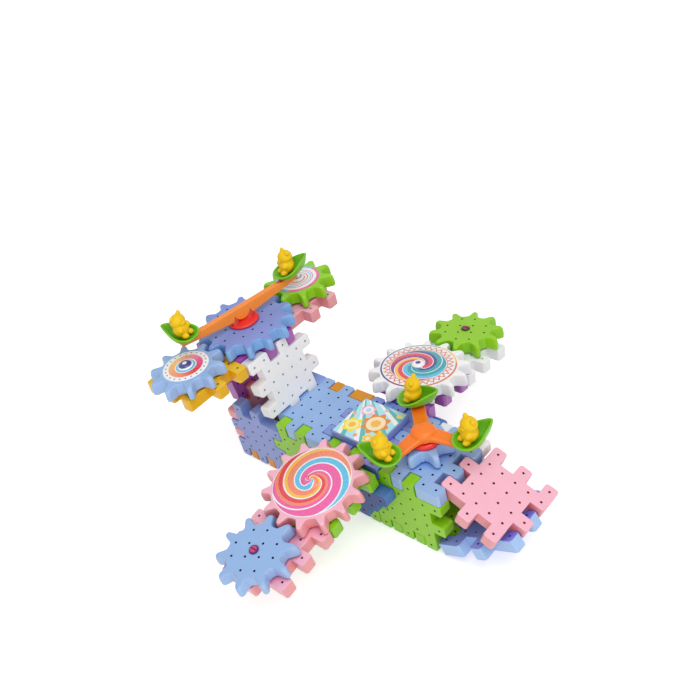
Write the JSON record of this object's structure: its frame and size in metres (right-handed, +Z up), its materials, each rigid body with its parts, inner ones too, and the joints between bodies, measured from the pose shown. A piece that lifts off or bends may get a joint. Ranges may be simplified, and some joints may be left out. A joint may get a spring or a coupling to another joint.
{
  "type": "gear block toy plane",
  "caption": "Toy plane of castellated square tiles finger-jointed into a box body, with meshing gears on the wings and tail, a three-armed rotor and a seesaw.",
  "frame": {"origin": "centre of the belly's middle tile, on its underside", "axes": "+X to the nose, +Y to the pilot's left, +Z up"},
  "size_m": [0.2357, 0.2568, 0.1353],
  "materials": {
    "pink": "moulded gloss plastic",
    "light_blue": "moulded gloss plastic",
    "periwinkle": "moulded gloss plastic",
    "green": "moulded gloss plastic",
    "white": "moulded gloss plastic",
    "purple": "moulded gloss plastic",
    "yellow": "moulded gloss plastic",
    "amber": "moulded gloss plastic",
    "orange": "moulded gloss plastic",
    "red": "moulded gloss plastic",
    "leaf": "moulded gloss plastic",
    "rider": "moulded gloss plastic",
    "magenta": "moulded gloss plastic",
    "royal": "moulded gloss plastic"
  },
  "bodies": {
    "airframe": {"bracket_left": "royal", "bracket_right": "royal", "centre_bottom": "periwinkle", "centre_left": "periwinkle", "centre_right": "green", "deck": "periwinkle", "deck_pin": "magenta", "deck_plate": "periwinkle", "front_bottom": "green", "front_left": "white", "front_right": "green", "front_top": "light_blue", "mid_bottom": "green", "mid_left": "amber", "mid_right": "green", "mid_top": "light_blue", "nose_lower": "light_blue", "nose_upper": "pink", "pin_left_large": "magenta", "pin_left_small": "magenta", "pin_right_large": "magenta", "pin_right_small": "magenta", "pin_tail_left": "magenta", "pin_tail_right": "magenta", "rear_bottom": "amber", "rear_end": "pink", "rear_left": "periwinkle", "rear_right": "periwinkle", "tail_centre": "purple", "tail_left": "pink", "tail_right": "yellow", "tower_back": "purple", "tower_front": "white", "wing_left_root": "purple", "wing_left_tip": "white", "wing_right_root": "green", "wing_right_tip": "pink"},
    "right_large_gear": {"gear_right_large": "pink"},
    "right_small_gear": {"gear_right_small": "light_blue"},
    "left_large_gear": {"gear_left_large": "white"},
    "left_small_gear": {"gear_left_small": "green"},
    "tail_carousel": {"gear_tail_large": "periwinkle", "hub_tail": "red", "seesaw": "orange", "seat_tail_right": "leaf", "rider_tail_right": "rider", "seat_tail_left": "leaf", "rider_tail_left": "rider"},
    "tail_right_gear": {"gear_tail_right": "light_blue"},
    "tail_left_gear": {"gear_tail_left": "green"},
    "rotor_spinner": {"gear_rotor": "light_blue", "hub_rotor": "red", "rotor": "orange", "seat_rotor_1": "leaf", "rider_rotor_1": "rider", "seat_rotor_2": "leaf", "rider_rotor_2": "rider", "seat_rotor_3": "leaf", "rider_rotor_3": "rider"}
  },
  "joints": [
    {"name": "right_large_spin", "type": "hinge", "parent": "airframe", "child": "right_large_gear", "pos_m": [0.0017, -0.05335, 0.04651], "axis": [0, -0.153, 0.9882], "continuous": true},
    {"name": "right_small_spin", "type": "hinge", "parent": "airframe", "child": "right_small_gear", "pos_m": [0.0017, -0.10375, 0.03871], "axis": [0, -0.153, 0.9882], "continuous": true},
    {"name": "left_large_spin", "type": "hinge", "parent": "airframe", "child": "left_large_gear", "pos_m": [-0.0034, 0.0533, 0.04959], "axis": [0, 0.1132, 0.9936], "continuous": true},
    {"name": "left_small_spin", "type": "hinge", "parent": "airframe", "child": "left_small_gear", "pos_m": [-0.0034, 0.10397, 0.04381], "axis": [0, 0.1132, 0.9936], "continuous": true},
    {"name": "tail_carousel_spin", "type": "hinge", "parent": "airframe", "child": "tail_carousel", "pos_m": [-0.09347, 0, 0.09489], "axis": [0, 0, 1], "continuous": true},
    {"name": "tail_right_spin", "type": "hinge", "parent": "airframe", "child": "tail_right_gear", "pos_m": [-0.09347, -0.051, 0.09489], "axis": [0, 0, 1], "continuous": true},
    {"name": "tail_left_spin", "type": "hinge", "parent": "airframe", "child": "tail_left_gear", "pos_m": [-0.09347, 0.051, 0.09489], "axis": [0, 0, 1], "continuous": true},
    {"name": "rotor_spin", "type": "hinge", "parent": "airframe", "child": "rotor_spinner", "pos_m": [0.0425, 0, 0.051], "axis": [0, 0, 1], "continuous": true}
  ],
  "couplings": [
    {"joint": "right_small_spin", "follows": "right_large_spin", "ratio": -1.4},
    {"joint": "left_small_spin", "follows": "left_large_spin", "ratio": -1.4},
    {"joint": "tail_right_spin", "follows": "tail_carousel_spin", "ratio": -1.4},
    {"joint": "tail_left_spin", "follows": "tail_carousel_spin", "ratio": -1.4}
  ]
}
